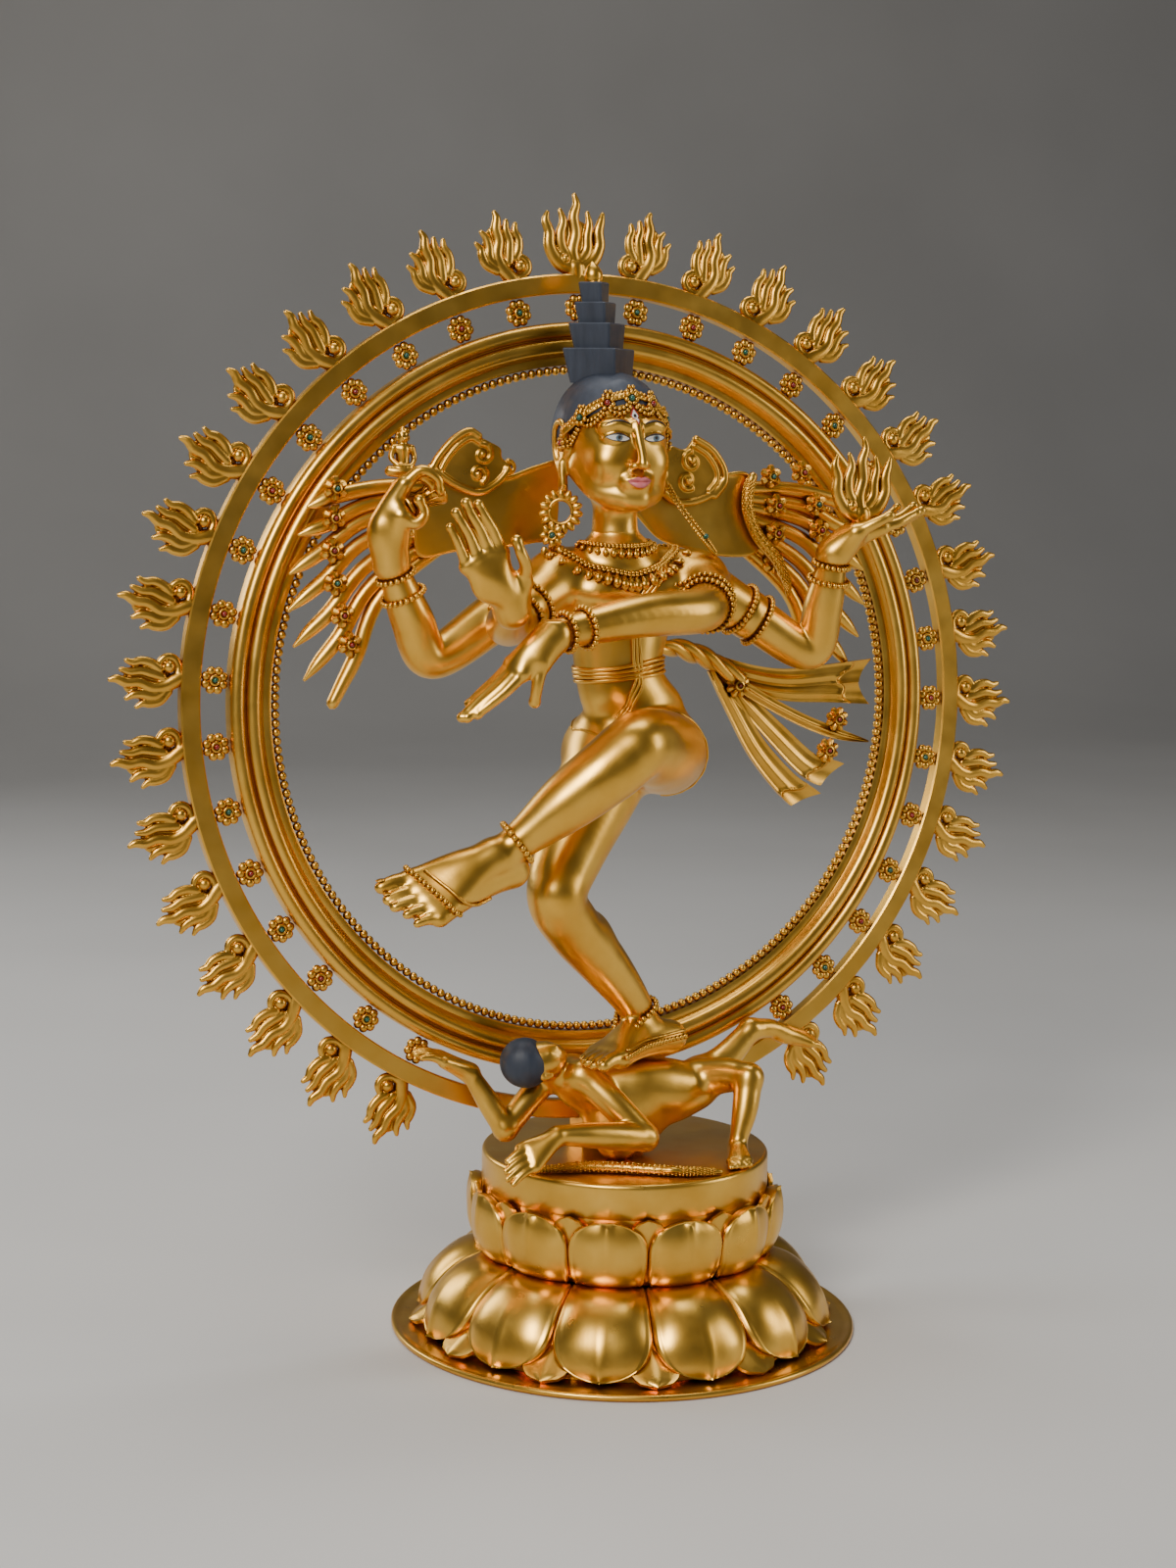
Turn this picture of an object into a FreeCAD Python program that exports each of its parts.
"""Gilt metal nataraja: a dancer on a dwarf, on a double lotus base, inside a ring of flames.

Millimetres. The origin is the centre of the base plate's underside, +Z is up, the dancer faces -Y,
and +X is on the right of a person who looks at the front.
"""

import FreeCAD, Part
import math
import os

from FreeCAD import Vector

os.makedirs("parts", exist_ok=True)

# ---------------------------------------------------------------- driving dimensions

# base
PLATE_R = 161.0
PLATE_T = 4.0
LOTUS_SEAM_Z = 53.0
LOTUS_TOP_Z = 102.0
PETALS = 12
SHELL = 3.0
DRUM_R = 99.0
DRUM_TOP_Z = 125.0
ROD_R = 3.0
ROD_AT = (-8.0, -22.0)
RUNNING_GAP = 0.1

# halo: radii about its own centre, depths along its own axis
HALO_CENTRE = Vector(-16.0, 33.6, 431.8)
HALO_BACK_LEAN = 3.0
HALO_SIDE_LEAN = 2.0
RING_INNER_R = 228.0
RING_OUTER_R = 257.0
RING_BACK = 6.0
BAND_INNER_R = 276.0
BAND_OUTER_R = 289.0
BAND_HALF_DEPTH = 5.0
BEAD_R = 2.9
FLAME_COUNT = 33
FLAME_STEP = 9.3
FLAME_LENGTH = 48.0
FLAME_WIDTH = 33.0
FLAME_T = 5.0
CREST_SCALE = 1.16
STONE_R = 1.7

# dancer
CORD_R = 1.6
WIRE_R = 1.7
RING_SLACK = 4.4
HAIR_LEAN = Vector(-5.0, 4.0, 69.0)

# ---------------------------------------------------------------- small helpers


def save(name, shapes):
    """Writes one node: a solid, or a group of separate solids."""
    solids = []
    for shape in shapes if isinstance(shapes, list) else [shapes]:
        solids += shape.Solids
    for solid in solids:
        if not solid.isValid() or solid.Volume <= 0:
            print("check", name, solid.isValid(), round(solid.Volume, 2))
    whole = solids[0] if len(solids) == 1 else Part.makeCompound(solids)
    whole.exportStep(f"parts/{name}.step")


def path_frames(points):
    """(tangent, across, up) at each point of a path, carried along it without twisting."""
    frames = []
    across = None
    for k in range(len(points)):
        before = points[max(k - 1, 0)]
        after = points[min(k + 1, len(points) - 1)]
        here = points[k]
        into = (here - before).normalize() if k else (after - here).normalize()
        out = (after - here).normalize() if k < len(points) - 1 else into
        tangent = (into + out).normalize()
        if across is None:
            across = Vector(1, 0, 0) if abs(tangent.x) < 0.8 else Vector(0, 1, 0)
        across = (across - tangent * across.dot(tangent)).normalize()
        frames.append((tangent, across, tangent.cross(across)))
    return frames


def loop(centre, across, up, wide, high, sides=10):
    """A closed smooth oval around a point."""
    points = []
    for k in range(sides):
        turn = 2 * math.pi * k / sides
        points.append(centre + across * (wide * math.cos(turn)) + up * (high * math.sin(turn)))
    curve = Part.BSplineCurve()
    curve.interpolate(points, PeriodicFlag=True)
    return Part.Wire(curve.toShape())


def limb(stations):
    """A round or oval limb through (x, y, z, radius) or (x, y, z, half width, half depth) stations."""
    points = [Vector(*s[:3]) for s in stations]
    wires = []
    for station, (_, across, up) in zip(stations, path_frames(points)):
        wires.append(loop(Vector(*station[:3]), across, up, station[3], station[-1]))
    return Part.makeLoft(wires, True, False)


def ball(centre, radius):
    return Part.makeSphere(radius, Vector(*centre))


def torus_about(centre, axis, ring_r, wire_r):
    """A plain ring of round wire about an axis."""
    return Part.makeTorus(ring_r, wire_r, Vector(*centre), Vector(*axis))


def revolved(profile):
    """Turns a closed (radius, height) outline about Z."""
    points = [Vector(r, 0, z) for r, z in profile]
    face = Part.Face(Part.makePolygon(points + points[:1]))
    return face.revolve(Vector(0, 0, 0), Vector(0, 0, 1), 360)


def slab(outline, y_front, thickness):
    """A flat plate in the X-Z plane from an outline of (x, z) points."""
    points = [Vector(x, y_front, z) for x, z in outline]
    return Part.Face(Part.makePolygon(points + points[:1])).extrude(Vector(0, thickness, 0))


def smooth_slab(outline, y_front, thickness):
    """As slab, with one smooth closed curve through the points."""
    curve = Part.BSplineCurve()
    curve.interpolate([Vector(x, y_front, z) for x, z in outline], PeriodicFlag=True)
    return Part.Face(Part.Wire(curve.toShape())).extrude(Vector(0, thickness, 0))


# ---------------------------------------------------------------- base


def scalloped_wire(z, valley_r, crown_r, turn=0.0):
    """A closed ring of one outward arc per petal."""
    edges = []
    step = 2 * math.pi / PETALS
    for k in range(PETALS):
        middle = -math.pi / 2 + turn + k * step
        ends = []
        for angle, radius in ((middle - step / 2, valley_r), (middle, crown_r), (middle + step / 2, valley_r)):
            ends.append(Vector(radius * math.cos(angle), radius * math.sin(angle), z))
        edges.append(Part.Arc(*ends).toShape())
    return Part.Wire(edges)


def lotus_tier(sections, hollow):
    """A ring of petals through (height, valley radius, crown radius) sections, cast hollow."""
    body = Part.makeLoft([scalloped_wire(*s) for s in sections], True, True)
    return body.cut(revolved(hollow))


def base_plate():
    rim = PLATE_T / 2
    return revolved([(0, 0), (PLATE_R - 1, 0), (PLATE_R, rim / 2), (PLATE_R, rim * 1.5), (PLATE_R - 1.5, PLATE_T),
                     (0, PLATE_T)])


def lower_lotus():
    sections = [
        (PLATE_T, 128, 141),
        (10, 129, 143),
        (24, 118, 136),
        (38, 103, 121),
        (48, 92, 103),
        (LOTUS_SEAM_Z, 88, 93),
    ]
    inside = [(0, PLATE_T), (122, PLATE_T), (122, 8), (85, 47), (82, LOTUS_SEAM_Z), (0, LOTUS_SEAM_Z)]
    return lotus_tier(sections, inside)


def upper_lotus():
    sections = [
        (LOTUS_SEAM_Z, 88, 90),
        (60, 91, 99),
        (72, 97, 108),
        (86, 99, 109),
        (96, 98, 106),
        (LOTUS_TOP_Z, 97, 103),
    ]
    inside = [(0, LOTUS_SEAM_Z), (84, LOTUS_SEAM_Z), (91, 72), (93, LOTUS_TOP_Z), (0, LOTUS_TOP_Z)]
    return lotus_tier(sections, inside)


def pedestal_drum():
    outline = [
        (DRUM_R - SHELL, LOTUS_TOP_Z),
        (DRUM_R, LOTUS_TOP_Z),
        (DRUM_R, DRUM_TOP_Z - 1),
        (DRUM_R - 1, DRUM_TOP_Z),
        (0, DRUM_TOP_Z),
        (0, DRUM_TOP_Z - SHELL),
        (DRUM_R - SHELL, DRUM_TOP_Z - SHELL),
    ]
    return revolved(outline).cut(rod_hole())


def rod_hole():
    """Clearance for the rod that ties foot, dwarf and drum together."""
    return Part.makeCylinder(ROD_R + RUNNING_GAP, 120, Vector(*ROD_AT, 90))


def tie_rod():
    return Part.makeCylinder(ROD_R, 95, Vector(*ROD_AT, 109))


def tie_nut():
    """Washer and hexagon nut under the drum's floor."""
    washer = Part.makeCylinder(8, 1.5, Vector(*ROD_AT, DRUM_TOP_Z - SHELL - 1.5))
    across_corners = 6.5
    corners = []
    for k in range(7):
        turn = math.radians(60 * k)
        corners.append(Vector(ROD_AT[0] + across_corners * math.cos(turn), ROD_AT[1] + across_corners * math.sin(turn),
                              DRUM_TOP_Z - SHELL - 6.5))
    nut = Part.Face(Part.makePolygon(corners)).extrude(Vector(0, 0, 5))
    return washer.fuse(nut).cut(rod_hole())


# ---------------------------------------------------------------- halo


def place_halo(shape):
    """Moves a shape from the halo's own frame, centred and upright, to its leaning place."""
    shape = shape.copy()
    shape.rotate(Vector(0, 0, 0), Vector(1, 0, 0), -HALO_BACK_LEAN)
    shape.rotate(Vector(0, 0, 0), Vector(0, 1, 0), -HALO_SIDE_LEAN)
    shape.translate(HALO_CENTRE)
    return shape


def halo_half(outline, upper):
    """Half of a ring with its axis along Y, from a closed (radius, y) outline."""
    points = [Vector(r, y, 0) for r, y in outline]
    face = Part.Face(Part.makePolygon(points + points[:1]))
    return face.revolve(Vector(0, 0, 0), Vector(0, -1 if upper else 1, 0), 180)


def ring_outline():
    """Moulded section: a flat back and two half-round tubes with a groove between them."""
    outline = [(RING_INNER_R, RING_BACK), (RING_INNER_R, -3.5), (236.5, -4.5)]
    for middle in (242.0, 252.0):
        for k in range(1, 6):
            turn = math.pi * k / 6
            outline.append((middle - 4.6 * math.cos(turn), -4.5 - 4.6 * math.sin(turn)))
    return outline + [(RING_OUTER_R, -4.5), (RING_OUTER_R, RING_BACK)]


def band_outline():
    deep = BAND_HALF_DEPTH
    return [(BAND_INNER_R, deep), (BAND_INNER_R, -deep), (BAND_OUTER_R, -deep), (BAND_OUTER_R, deep)]


def bead_row():
    """The beaded wire inside the ring, as two half rings of its outer size."""
    whole = Part.makeTorus(RING_INNER_R - BEAD_R, BEAD_R, Vector(0, 0, 0), Vector(0, 1, 0))
    below = Part.makeBox(600, 40, 300, Vector(-300, -20, -300))
    return [place_halo(whole.common(below)), place_halo(whole.cut(below))]


def around_halo(shape, steps):
    """Copies a shape made at the top of the halo to other places round it."""
    placed = []
    for k in steps:
        turned = shape.copy()
        turned.rotate(Vector(0, 0, 0), Vector(0, 1, 0), k * FLAME_STEP)
        placed.append(place_halo(turned))
    return placed


def rosette(radius, thickness):
    """A flower boss with its back at y = 0 and its face towards -Y."""
    outline = [(0, 0), (radius, 0), (radius, 0.35 * thickness), (0.75 * radius, 0.9 * thickness),
               (0.45 * radius, 0.6 * thickness), (0.3 * radius, thickness), (0, thickness)]
    flower = revolved(outline)
    flower.rotate(Vector(0, 0, 0), Vector(1, 0, 0), 90)
    return flower


def stone(thickness):
    """A round set stone that stands on a rosette's middle."""
    dome = Part.makeSphere(STONE_R, Vector(0, 0, 0), Vector(0, -1, 0), 0, 90, 360)
    dome.translate(Vector(0, -thickness, 0))
    return dome


def flame_outline(scale):
    """Half volute root, swelling belly and three tongues, as (x, z) points."""
    width = FLAME_WIDTH * scale
    length = FLAME_LENGTH * scale
    shape = [(-0.16, 0.0), (0.14, 0.0), (0.30, 0.14), (0.34, 0.36), (0.46, 0.52), (0.50, 0.74), (0.36, 0.62),
             (0.24, 0.62), (0.22, 0.86), (0.12, 1.0), (0.05, 0.78), (-0.06, 0.66), (-0.14, 0.82), (-0.24, 0.88),
             (-0.24, 0.62), (-0.36, 0.48), (-0.47, 0.56), (-0.44, 0.36), (-0.28, 0.22), (-0.34, 0.10)]
    return [(x * width, BAND_OUTER_R + z * length) for x, z in shape]


def flame(scale=1.0, mirrored=False):
    outline = flame_outline(scale)
    if mirrored:
        outline = [(-x, z) for x, z in outline]
    return slab(outline, -FLAME_T / 2, FLAME_T)


def halo_foot(band, ring):
    """Saddle that stands on the drum and carries band and ring at their lowest point."""
    low_y = HALO_CENTRE.y - BAND_OUTER_R * math.sin(math.radians(HALO_BACK_LEAN))
    low_x = HALO_CENTRE.x + BAND_OUTER_R * math.sin(math.radians(HALO_SIDE_LEAN))
    saddle = Part.makeBox(46, 22, 24, Vector(low_x - 23, low_y - 11, DRUM_TOP_Z))
    tongue = Part.makeBox(30, 5, 66, Vector(low_x - 15, low_y + 6.5, DRUM_TOP_Z))
    foot = saddle.fuse(tongue)
    return foot.cut(band).cut(ring).removeSplitter()


# ---------------------------------------------------------------- dancer

TORSO = [
    (-20.5, -12, 556, 15, 15),
    (-20.0, -11, 544, 19, 17),
    (-16.0, -10, 534, 38, 20),
    (-13.0, -11, 520, 49, 25),
    (-13.5, -13, 502, 44, 27),
    (-16.5, -14, 480, 34, 24),
    (-19.0, -14, 456, 28, 21),
    (-14.0, -13, 438, 34, 24),
    (-5.0, -12, 420, 42, 28),
    (1.0, -10, 402, 45, 30),
    (4.0, -8, 385, 40, 26),
    (4.0, -6, 373, 24, 18),
]
HEAD = [
    (-21.0, -15, 562, 12),
    (-21.0, -20, 570, 24, 26),
    (-21.0, -17, 585, 31, 34),
    (-21.0, -14, 605, 34, 38),
    (-21.0, -12, 625, 33, 37),
    (-21.5, -10, 638, 27, 31),
]
HAIR_DOME = [(-21.5, -3, 612, 38, 36), (-22.0, -3, 628, 38, 38), (-23.0, 0, 642, 34, 35), (-24.5, 4, 653, 24, 25)]
STANDING_LEG = [
    (-22, -12, 400, 30),
    (-38, -22, 375, 28),
    (-58, -36, 342, 25),
    (-75, -48, 312, 20),
    (-62, -42, 288, 21),
    (-40, -32, 262, 18),
    (-14, -22, 236, 13),
    (0, -17, 214, 12.5),
    (3, -16, 201, 13),
]
RAISED_LEG = [
    (20, -12, 400, 34),
    (4, -42, 408, 32),
    (-16, -72, 414, 28),
    (-38, -96, 417, 23),
    (-60, -98, 402, 21),
    (-86, -93, 382, 18),
    (-112, -89, 362, 13),
    (-132, -85, 346, 11),
]
STANDING_FOOT = [(24, -14, 203, 11, 7), (0, -22, 204, 12, 9), (-30, -36, 201, 15, 7), (-56, -48, 199, 13, 4)]
RAISED_FOOT = [(-121, -82, 334, 11, 10), (-140, -84, 336, 12, 12), (-168, -90, 328, 15, 8), (-192, -93, 322, 15, 4.5)]

ARMS = {
    "arm_front_right": [(-58, -10, 517, 19), (-84, -24, 503, 18), (-106, -42, 492, 16), (-117, -62, 494, 13.5),
                        (-123, -86, 503, 10)],
    "arm_back_right": [(-62, 2, 516, 18), (-105, -6, 492, 17), (-148, -15, 467, 15), (-164, -20, 492, 15),
                       (-180, -25, 524, 11)],
    "arm_front_left": [(40, -12, 514, 20), (32, -44, 506, 17.5), (18, -70, 500, 16), (-40, -84, 497, 16.5),
                       (-98, -95, 488, 11.5)],
    "arm_back_left": [(46, 2, 516, 18), (90, 2, 490, 17), (132, -2, 467, 15.5), (138, -12, 500, 15),
                      (141, -20, 534, 11)],
}
# limb, share of its length counted in stations, slack between the skin and the ring's middle
ARMLETS = [
    (ARMS["arm_front_right"], 2.15, 4),
    (ARMS["arm_front_right"], 2.45, 4),
    (ARMS["arm_back_left"], 0.8, 5),
    (ARMS["arm_back_left"], 1.1, 5.5),
    (ARMS["arm_front_left"], 1.3, 5),
    (ARMS["arm_front_left"], 1.65, 5),
]
BRACELETS = [
    (ARMS["arm_back_right"], 3.6, 5.5),
    (ARMS["arm_back_right"], 3.85, 5.5),
    (ARMS["arm_front_left"], 3.65, 9),
    (ARMS["arm_front_left"], 3.9, 8.5),
    (ARMS["arm_back_left"], 3.6, 5.5),
    (ARMS["arm_back_left"], 3.85, 5.5),
]
# wrist, knuckles, palm half width and thickness, then the tips of thumb and four fingers
HANDS = {
    "hand_front_right": [(-123, -86, 503), (-142, -96, 535), 17, 6,
                         [(-126, -102, 547), (-151, -101, 569), (-159, -101, 569), (-164, -100, 563), (-168, -99, 555)]],
    "hand_back_right": [(-182, -25, 526), (-184, -32, 568), 12, 7,
                        [(-168, -44, 560), (-161, -42, 583), (-165, -38, 587), (-172, -34, 588), (-176, -30, 586)]],
    "hand_front_left": [(-98, -95, 488), (-126, -97, 467), 12, 7,
                        [(-112, -90, 448), (-145, -93, 443), (-150, -96, 440), (-155, -99, 438), (-159, -102, 437)]],
    "hand_back_left": [(141, -20, 537), (166, -22, 550), 13, 5,
                       [(158, -42, 560), (190, -34, 559), (201, -28, 562), (206, -22, 564), (202, -14, 567)]],
}


def hand(wrist, knuckles, half_width, thickness, tips):
    """Palm and five straight fingers."""
    start, end = Vector(*wrist), Vector(*knuckles)
    reach = (end - start).normalize()
    spread_dir = (Vector(*tips[4]) - Vector(*tips[1])).normalize()
    spread_dir = (spread_dir - reach * spread_dir.dot(reach)).normalize()
    up = reach.cross(spread_dir)
    wires = [
        loop(start, spread_dir, up, 9, 8),
        loop(start + (end - start) * 0.45, spread_dir, up, half_width * 0.9, thickness * 1.3),
        loop(end, spread_dir, up, half_width, thickness * 0.8),
    ]
    whole = Part.makeLoft(wires, True, False)
    for k, tip in enumerate(tips):
        if k == 0:
            root = start + (end - start) * 0.4 - spread_dir * half_width * 0.7
        else:
            root = end - reach * 3 + spread_dir * half_width * (k - 2.5) * 0.5
        finger = Part.makeLoft([
            loop(root, *side_frame(Vector(*tip) - root), 3.4, 3.4),
            loop(Vector(*tip), *side_frame(Vector(*tip) - root), 2.2, 2.2),
        ], True, True)
        whole = whole.fuse(finger)
    return whole


def side_frame(direction):
    """Two directions across a given one."""
    direction = Vector(direction).normalize()
    across = direction.cross(Vector(0.3, 0.9, 0.2)).normalize()
    return across, direction.cross(across)


def point_on(stations, share):
    """(point, direction, radius) at a share of the way between stations; 1.5 is half way from station 1 to 2."""
    k = min(int(share), len(stations) - 2)
    part = share - k
    a, b = Vector(*stations[k][:3]), Vector(*stations[k + 1][:3])
    radius = stations[k][3] + (stations[k + 1][3] - stations[k][3]) * part
    return a + (b - a) * part, (b - a).normalize(), radius


def beaded_rings(places):
    """Loose rings of beaded wire round limbs, as plain rings of the beads' outer size."""
    rings = []
    for stations, share, slack in places:
        point, direction, radius = point_on(stations, share)
        rings.append(torus_about(point, direction, radius + slack, WIRE_R))
    return rings


def hair_tiers():
    """Four square tiers set cornerwise, each a little narrower at its foot, on a common leaning axis."""
    foot = Vector(-24.5, 7, 651)
    tiers = []
    for low, high, half in ((0, 0.27, 26), (0.27, 0.51, 21), (0.51, 0.71, 15.5), (0.71, 0.88, 11.5)):
        wires = []
        for share, size in ((low, half * 0.86), (high, half)):
            middle = foot + HAIR_LEAN * share
            corners = []
            for dx, dy in ((0, -1), (1, 0), (0, 1), (-1, 0), (0, -1)):
                corners.append(middle + Vector(dx * size, dy * size, 0))
            wires.append(Part.makePolygon(corners))
        tiers.append(Part.makeLoft(wires, True, True))
    whole = tiers[0]
    for tier in tiers[1:]:
        whole = whole.fuse(tier)
    return whole


def hair_finial():
    top = Vector(-24.5, 7, 651) + HAIR_LEAN * 0.88
    bud = revolved([(0, 0), (5.5, 0), (6.5, 3), (6.2, 6), (3.5, 11), (0, 15)])
    bud.translate(top)
    return bud


def crown():
    """Band on the hairline, higher at the brow than at the ears."""
    band = limb([(-57, -14, 606, 4.0), (-52, -38, 622, 4.0), (-38, -50, 634, 4.2), (-21, -54, 638, 4.2),
                 (-4, -50, 634, 4.2), (10, -38, 622, 4.0), (15, -14, 606, 4.0)])
    return band


def hair_locks(tips, mirror_x):
    """Tapered strands that fan out from behind the shoulder."""
    strands = []
    for k, (x, z) in enumerate(tips):
        root_x = -138 + 2 * k
        root_z = 582 - 11 * k
        middle = (0.45 * root_x + 0.55 * x - 4, 21, 0.45 * root_z + 0.55 * z + 4)
        stations = [(root_x, 22.7, root_z, 5), (*middle, 4.6), (x, 21, z, 2.2)]
        if mirror_x:
            stations = [(mirror_x - s[0] * 0.93, *s[1:]) for s in stations]
        strands.append(limb(stations))
    return strands


CAPE_Y = 14.0
CAPE_LEFT = [(-56, 596), (-92, 580), (-136, 592), (-140, 560), (-138, 514), (-98, 524), (-58, 518)]
CAPE_RIGHT = [(18, 598), (52, 584), (90, 592), (94, 560), (92, 516), (56, 524), (20, 520)]
SCROLL_LEFT = [(-134, 590), (-130, 610), (-112, 614), (-94, 602), (-92, 584), (-112, 580)]
SCROLL_RIGHT = [(30, 600), (44, 610), (62, 612), (76, 594), (70, 578), (44, 580)]
HAIR_SNAKE = [(98, 9, 588, 4), (92, 9, 570, 4), (98, 9, 545, 4), (112, 9, 525, 3.4), (120, 9, 506, 2)]
LOCK_TIPS = [(-222, 566), (-229, 546), (-235, 521), (-236, 497), (-232, 474), (-225, 452), (-207, 436)]
LOCK_ROSETTES = [(-206, 576), (-207, 557), (-208, 536), (-206, 515), (-201, 494), (-196, 475), (109, 586), (133, 589),
                 (114, 566), (145, 567), (114, 547), (148, 549), (113, 526)]
SASH_ROSETTES = [(86, 442), (165, 416), (158, 394)]
SASH_ENDS = [(181, 447, 7), (182, 432, 7), (184, 401, 4), (164, 378, 8), (140, 359, 8)]


def small_rosettes(places, y_back, radius):
    flowers = []
    for x, z in places:
        flower = rosette(radius, 5)
        flower.translate(Vector(x, y_back, z))
        flowers.append(flower)
    return flowers


def sash():
    """Twisted knot at the waist that opens into five flat ribbons."""
    knot = limb([(13, 2, 468, 5), (40, 8, 462, 7), (66, 14, 454, 9)])
    whole = knot
    for x, z, half in SASH_ENDS:
        ribbon = limb([(60, 13, 454, 7, 2.2), (0.5 * (60 + x), 18, 0.5 * (454 + z) + 3, half, 1.8), (x, 17, z, half, 1.6)])
        whole = whole.fuse(ribbon)
    return whole


def hourglass_drum():
    """Small two-headed drum held between thumb and fingers."""
    drum = revolved([(0, -13), (9, -13), (9.5, -11), (4, 0), (9.5, 11), (9, 13), (0, 13)])
    drum.rotate(Vector(0, 0, 0), Vector(0, 1, 0), 62)
    drum.translate(Vector(-164, -34, 571))
    return drum


def palm_flame():
    outline = [(-22, 30), (-20, 14), (-12, 3), (0, -1), (12, 3), (19, 14), (21, 34), (12, 30), (10, 44), (2, 60),
               (-3, 46), (-10, 34), (-16, 40)]
    return slab([(160 + x, 558 + z) for x, z in outline], -23, 5)


def seated_figure():
    """Tiny seated figure on the left locks."""
    lap = limb([(-163, 8, 586, 12, 7), (-163, 8, 592, 8, 6)])
    trunk = limb([(-163, 9, 591, 6, 5), (-163, 9, 602, 7.5, 4.5), (-163, 9, 606, 2.5, 2.5)])
    return lap.fuse(trunk).fuse(ball((-163, 8.5, 609), 4.2)).fuse(ball((-163, 9, 613.5), 2.2))


# ---------------------------------------------------------------- dwarf

DWARF_BODY = [
    (-66, -20, 190, 13),
    (-52, -18, 183, 16, 14),
    (-34, -16, 173, 20, 17),
    (-10, -15, 163, 19, 18),
    (14, -15, 158, 18, 19),
    (38, -14, 162, 20, 19),
    (58, -10, 168, 15, 14),
]
DWARF_HEAD = [(-62, -20, 190, 12), (-76, -24, 196, 15), (-88, -25, 198, 14)]
DWARF_HAIR = [(-78, -25, 198, 17), (-90, -27, 199, 18), (-102, -28, 199, 15), (-108, -28, 199, 8)]
DWARF_NEAR_ARM = [(-46, -34, 186, 11), (-28, -50, 166, 10.5), (-12, -62, 146, 10.5), (-40, -66, 152, 10),
                  (-78, -72, 158, 7.5), (-100, -75, 150, 9, 5), (-124, -75, 137, 8, 3.5)]
DWARF_FAR_ARM = [(-58, -6, 184, 10), (-78, -10, 166, 10), (-96, -16, 152, 9), (-108, -8, 172, 8),
                 (-118, -3, 190, 6.5), (-140, 0, 196, 8, 4), (-158, 2, 203, 6, 3)]
DWARF_NEAR_LEG = [(50, -16, 172, 14), (64, -34, 176, 12), (70, -48, 177, 10), (64, -56, 156, 9.5), (56, -60, 137, 7),
                  (54, -64, 132, 9, 4.5), (46, -78, 129.5, 9, 3)]
DWARF_FAR_LEG = [(56, -2, 170, 12), (74, 0, 178, 11), (97, 3, 199, 8.5), (119, 4, 196, 6.5), (141, 5, 189, 5, 4)]
SNAKE = [(-92, -68, 127.8, 1.2), (-70, -80, 128.6, 2.6), (-40, -78, 128.8, 3.6), (-8, -78, 128.8, 3.6),
         (18, -84, 128.8, 3.4), (40, -86, 128.2, 2.2)]

# ---------------------------------------------------------------- assembly


def build_base():
    save("base_plate", base_plate())
    save("lower_lotus", lower_lotus())
    save("upper_lotus", upper_lotus())
    save("pedestal_drum", pedestal_drum())
    save("tie_rod", tie_rod())
    save("tie_nut", tie_nut())


def build_halo():
    ring = [place_halo(halo_half(ring_outline(), upper)) for upper in (True, False)]
    band = [place_halo(halo_half(band_outline(), upper)) for upper in (True, False)]
    foot = halo_foot(band[1], ring[1])
    for name, (upper, lower) in (("halo_ring", ring), ("halo_band", band)):
        save(name + "_upper", upper)
        save(name + "_lower", lower)
    save("halo_foot", foot)
    save("bead_row", bead_row())

    reach = FLAME_COUNT // 2
    middle_r = (RING_OUTER_R + BAND_INNER_R) / 2
    boss = rosette((BAND_INNER_R - RING_OUTER_R) / 2, 5)
    gem = stone(5)
    for shape in (boss, gem):
        shape.translate(Vector(0, 1, middle_r))
    steps = range(-reach, reach + 1)
    save("rosettes", around_halo(boss, steps))
    save("stones_green", around_halo(gem, [k for k in steps if k % 2]))
    save("stones_red", around_halo(gem, [k for k in steps if not k % 2]))
    save("flames_left", around_halo(flame(), range(-reach, 0)))
    save("flames_right", around_halo(flame(mirrored=True), range(1, reach + 1)))
    save("crest_flame", place_halo(flame(CREST_SCALE)))


def build_dwarf():
    body = limb(DWARF_BODY)
    head = limb(DWARF_HEAD)
    hair = limb(DWARF_HAIR)
    body = body.fuse(head.cut(hair)).cut(rod_hole())
    save("dwarf_body", body)
    save("dwarf_hair", hair)
    save("dwarf_arm_near", limb(DWARF_NEAR_ARM).cut(body).cut(hair))
    save("dwarf_arm_far", limb(DWARF_FAR_ARM).cut(body).cut(hair))
    drum_block = Part.makeCylinder(DRUM_R, DRUM_TOP_Z)
    save("dwarf_leg_near", limb(DWARF_NEAR_LEG).cut(body).cut(drum_block))
    save("dwarf_leg_far", limb(DWARF_FAR_LEG).cut(body))
    save("base_snake", limb(SNAKE))
    return body


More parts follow.
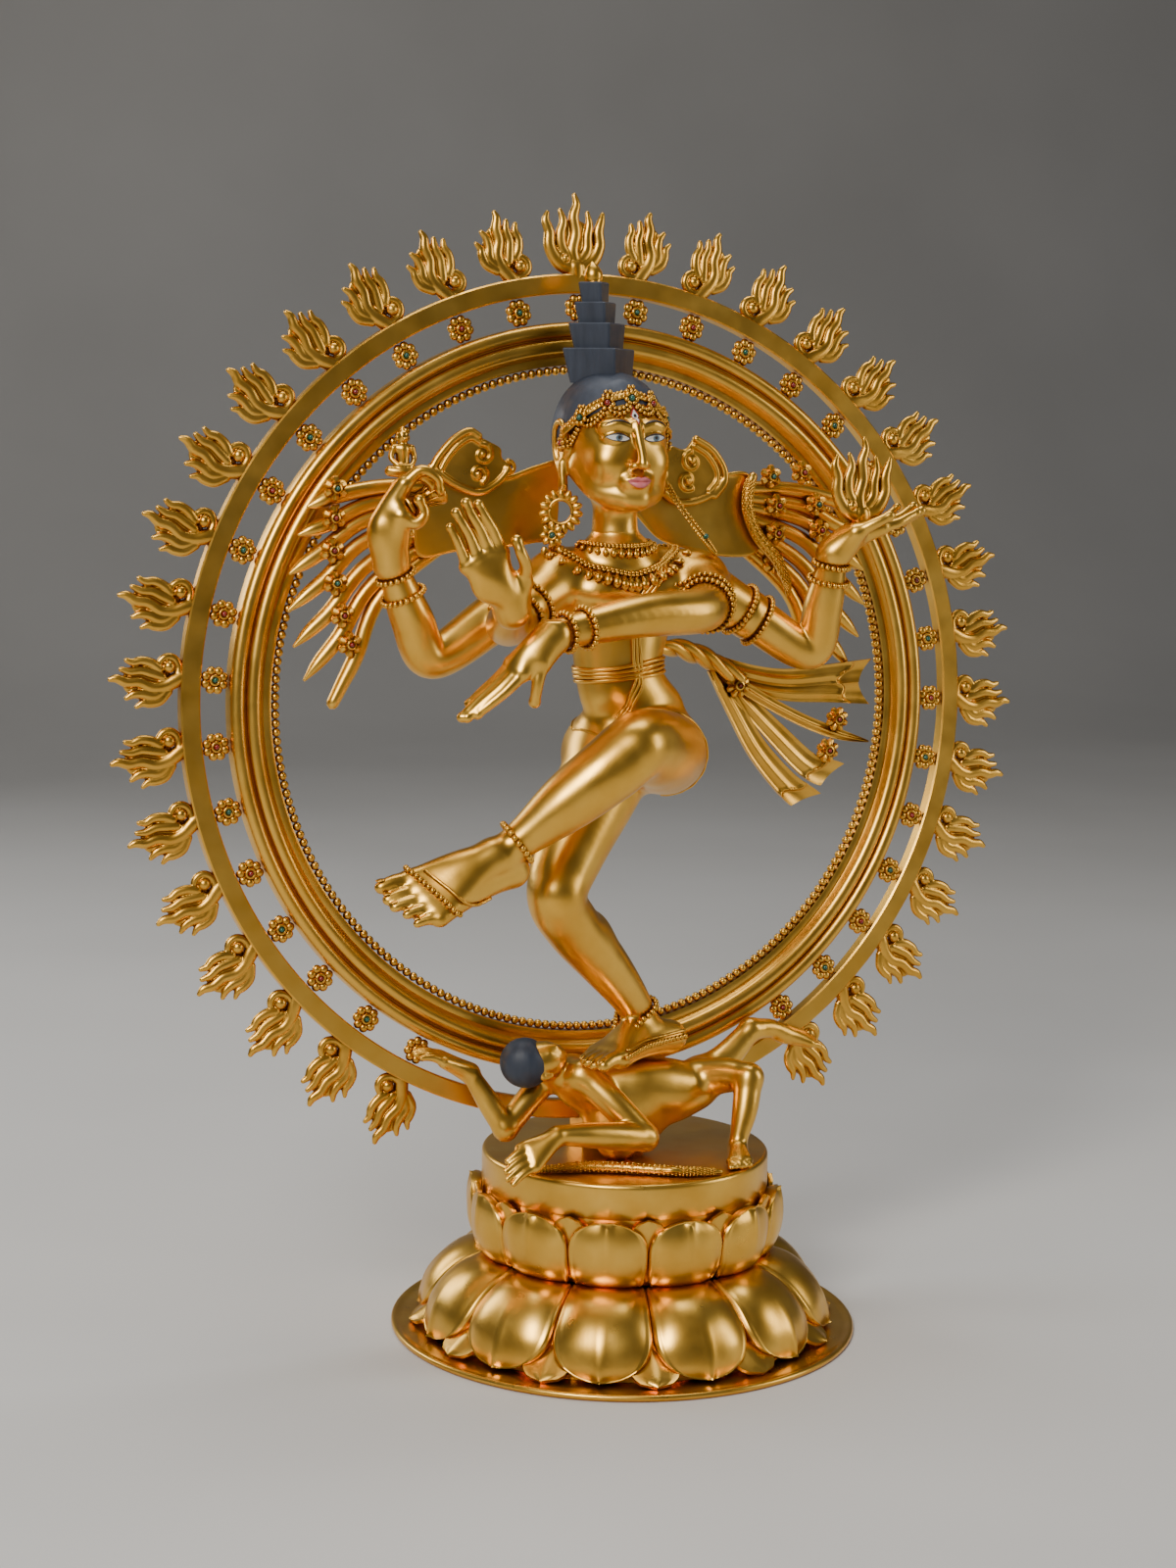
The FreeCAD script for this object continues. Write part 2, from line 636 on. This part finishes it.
def build_dancer(dwarf):
    torso = limb(TORSO)
    standing = limb(STANDING_LEG).fuse(limb(STANDING_FOOT)).cut(torso).cut(dwarf).cut(rod_hole())
    raised = limb(RAISED_LEG).fuse(limb(RAISED_FOOT)).cut(torso).cut(standing)
    save("torso", torso)
    save("standing_leg", standing)
    save("raised_leg", raised)

    dome = limb(HAIR_DOME)
    head = limb(HEAD).cut(dome).cut(torso)
    save("hair_dome", dome)
    save("head", head)
    save("hair_tiers", hair_tiers().cut(dome))
    save("hair_finial", hair_finial())
    save("crown", crown().cut(head).cut(dome))
    ear_ring = torus_about((-57, -12, 563), (0.35, -1, 0), 10, 3.5)
    pendant = rosette(7, 4)
    pendant.translate(Vector(-62, -10, 546))
    save("ear_ring", ear_ring.fuse(pendant).cut(torso).cut(head))
    save("ear_strip", limb([(15, -14, 582, 2.5), (24, -16, 568, 3.2), (38, -20, 548, 3.2), (46, -24, 538, 2.2)]).cut(torso))

    collar = torus_about((-20, -13, 545), (0.05, -0.35, 1), 23, 2.4)
    drops = torus_about((-18, -16, 533), (0.1, -0.75, 1), 34, 3.2)
    save("necklaces", [collar.cut(torso), drops.cut(torso)])
    thread = limb([(30, -34, 530, 3), (12, -44, 512, 3), (-8, -45, 490, 3), (-20, -40, 470, 3), (-26, -38, 455, 3)])
    cords = [limb_ring((-18.5, -14, z), 31, 24, CORD_R).cut(torso).cut(thread) for z in (464, 459, 454)]
    save("waist_cords", cords)

    arms = {}
    for name, stations in ARMS.items():
        arms[name] = limb(stations).cut(torso)
    arms["arm_back_right"] = arms["arm_back_right"].cut(arms["arm_front_right"])
    arms["arm_back_left"] = arms["arm_back_left"].cut(arms["arm_front_left"])
    thread = thread.cut(torso).cut(arms["arm_front_left"])
    save("sacred_thread", thread)
    hands = {}
    for name, spec in HANDS.items():
        hands[name] = hand(*spec).cut(arms[name.replace("hand", "arm")])
    for name, shape in {**arms, **hands}.items():
        save(name, shape)

    save("armlets", beaded_rings(ARMLETS))
    save("bracelets", beaded_rings(BRACELETS))
    save("anklets", beaded_rings([(STANDING_LEG, 6.1, RING_SLACK), (RAISED_LEG, 6.3, RING_SLACK)]))
    save("hand_drum", hourglass_drum().cut(hands["hand_back_right"]))
    save("palm_flame", palm_flame().cut(hands["hand_back_left"]))
    return torso, arms


def limb_ring(centre, wide, deep, wire_r):
    """An oval ring of round wire about the waist."""
    path = loop(Vector(*centre), Vector(1, 0, 0), Vector(0, 1, 0), wide, deep)
    start = Vector(centre[0] + wide, centre[1], centre[2])
    section = Part.Wire(Part.makeCircle(wire_r, start, Vector(0, 1, 0)))
    return path.makePipeShell([section], True, False)


def build_hair_and_sash(torso, arms):
    """Everything that spreads out behind the shoulders and the waist."""
    capes = {
        "cape_left": (CAPE_LEFT, SCROLL_LEFT, arms["arm_back_right"]),
        "cape_right": (CAPE_RIGHT, SCROLL_RIGHT, arms["arm_back_left"]),
    }
    for name, (panel, scroll, arm) in capes.items():
        save(name, smooth_slab(panel, CAPE_Y, SHELL).fuse(smooth_slab(scroll, CAPE_Y - 5, 6)).cut(arm))
    ribbons = sash().cut(torso)
    save("sash", ribbons)
    save("locks_left", hair_locks(LOCK_TIPS, 0))
    save("locks_right", [lock.cut(ribbons) for lock in hair_locks(LOCK_TIPS, -32)])
    flowers = small_rosettes(LOCK_ROSETTES, CAPE_Y + 2, 7)
    save("lock_rosettes", flowers)
    snake = limb(HAIR_SNAKE)
    for flower in flowers:
        snake = snake.cut(flower)
    save("hair_snake", snake)
    save("seated_figure", seated_figure())
    save("sash_rosettes", [flower.cut(ribbons) for flower in small_rosettes(SASH_ROSETTES, 15, 6.5)])


build_base()
build_halo()
dwarf_shape = build_dwarf()
torso_shape, arm_shapes = build_dancer(dwarf_shape)
build_hair_and_sash(torso_shape, arm_shapes)
print("written")
